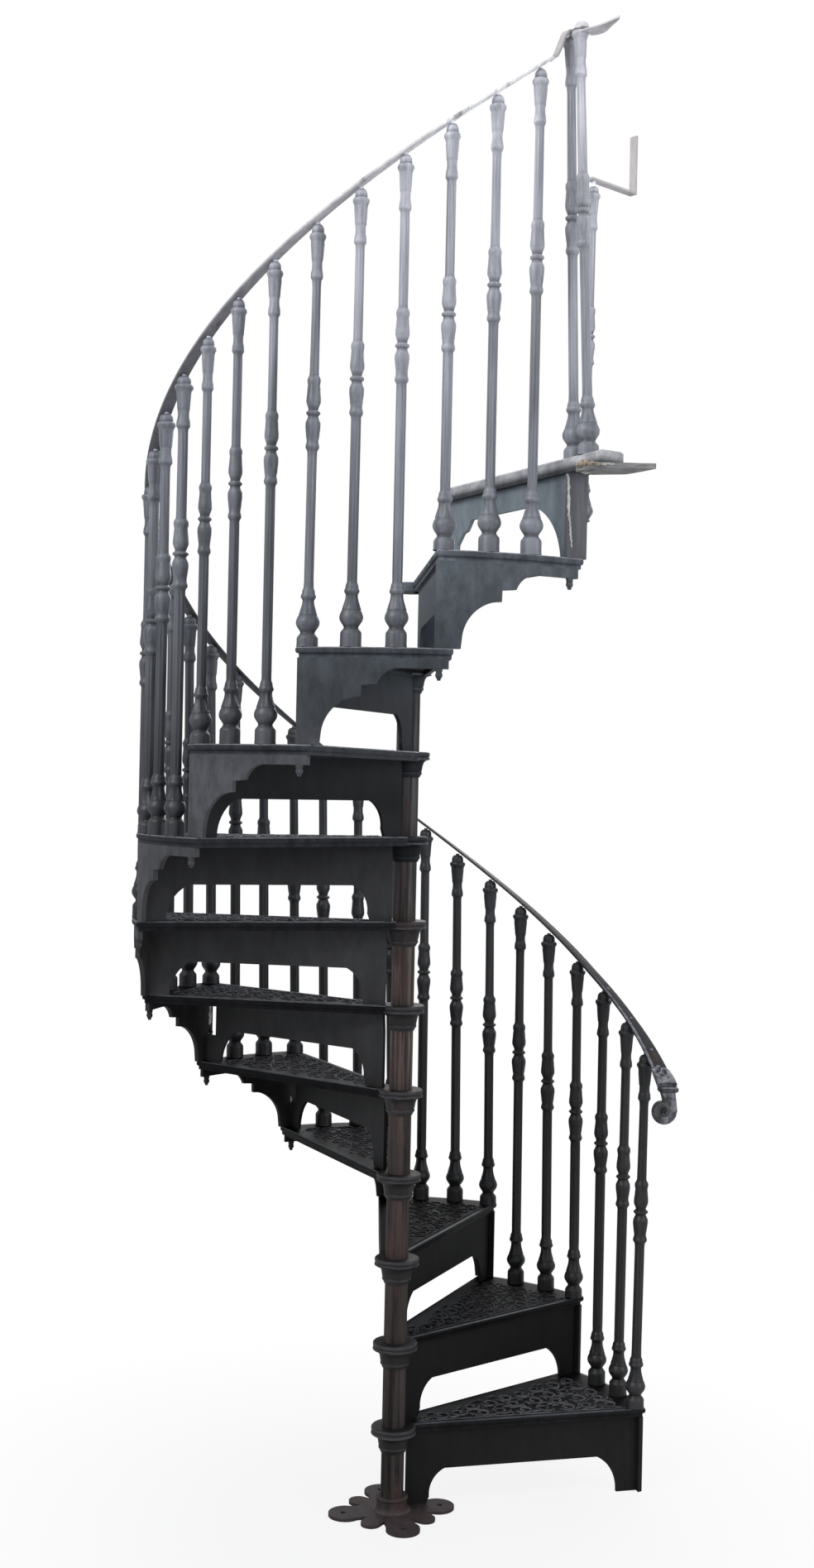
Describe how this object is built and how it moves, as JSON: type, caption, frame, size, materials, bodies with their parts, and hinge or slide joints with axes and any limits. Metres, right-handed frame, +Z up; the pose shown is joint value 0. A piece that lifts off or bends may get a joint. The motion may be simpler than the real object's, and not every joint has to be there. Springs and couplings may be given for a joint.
{
  "type": "spiral staircase",
  "caption": "Cast-iron spiral stair: wedge treads with arched risers and corbelled strings round a slim newel, turned balusters, flat helical handrail and a bolted foot",
  "frame": {"origin": "on the newel's axis, on the underside of the base flange", "axes": "+Z up along the newel; +X towards the first step's nosing, the stair climbs anticlockwise seen from above"},
  "size_m": [1.4448, 1.4489, 3.8152],
  "materials": {
    "painted_iron": "old grey-black paint, worn thin and washed out towards the top",
    "newel_iron": "old paint with brown rust streaks",
    "rail_iron": "worn black paint, rubbed bright on the edges"
  },
  "bodies": {
    "root": {"balusters_landing": "painted_iron", "balusters_medium": "painted_iron", "balusters_short": "painted_iron", "balusters_tall": "painted_iron", "base_flange": "newel_iron", "handrail_lower": "rail_iron", "handrail_middle": "rail_iron", "handrail_scroll": "rail_iron", "handrail_upper": "rail_iron", "landing_bearer": "painted_iron", "landing_edge": "painted_iron", "landing_leg": "painted_iron", "landing_lug": "painted_iron", "landing_riser": "painted_iron", "newel_column": "newel_iron", "rail_end": "rail_iron", "rail_twist": "rail_iron", "riser_01": "painted_iron", "riser_02": "painted_iron", "riser_03": "painted_iron", "riser_04": "painted_iron", "riser_05": "painted_iron", "riser_06": "painted_iron", "riser_07": "painted_iron", "riser_08": "painted_iron", "riser_09": "painted_iron", "riser_10": "painted_iron", "riser_11": "painted_iron", "string_brackets_lower": "painted_iron", "string_brackets_middle": "painted_iron", "string_brackets_upper": "painted_iron", "tread_01": "painted_iron", "tread_02": "painted_iron", "tread_03": "painted_iron", "tread_04": "painted_iron", "tread_05": "painted_iron", "tread_06": "painted_iron", "tread_07": "painted_iron", "tread_08": "painted_iron", "tread_09": "painted_iron", "tread_10": "painted_iron", "tread_11": "painted_iron", "wall_tie": "painted_iron"}
  },
  "joints": []
}
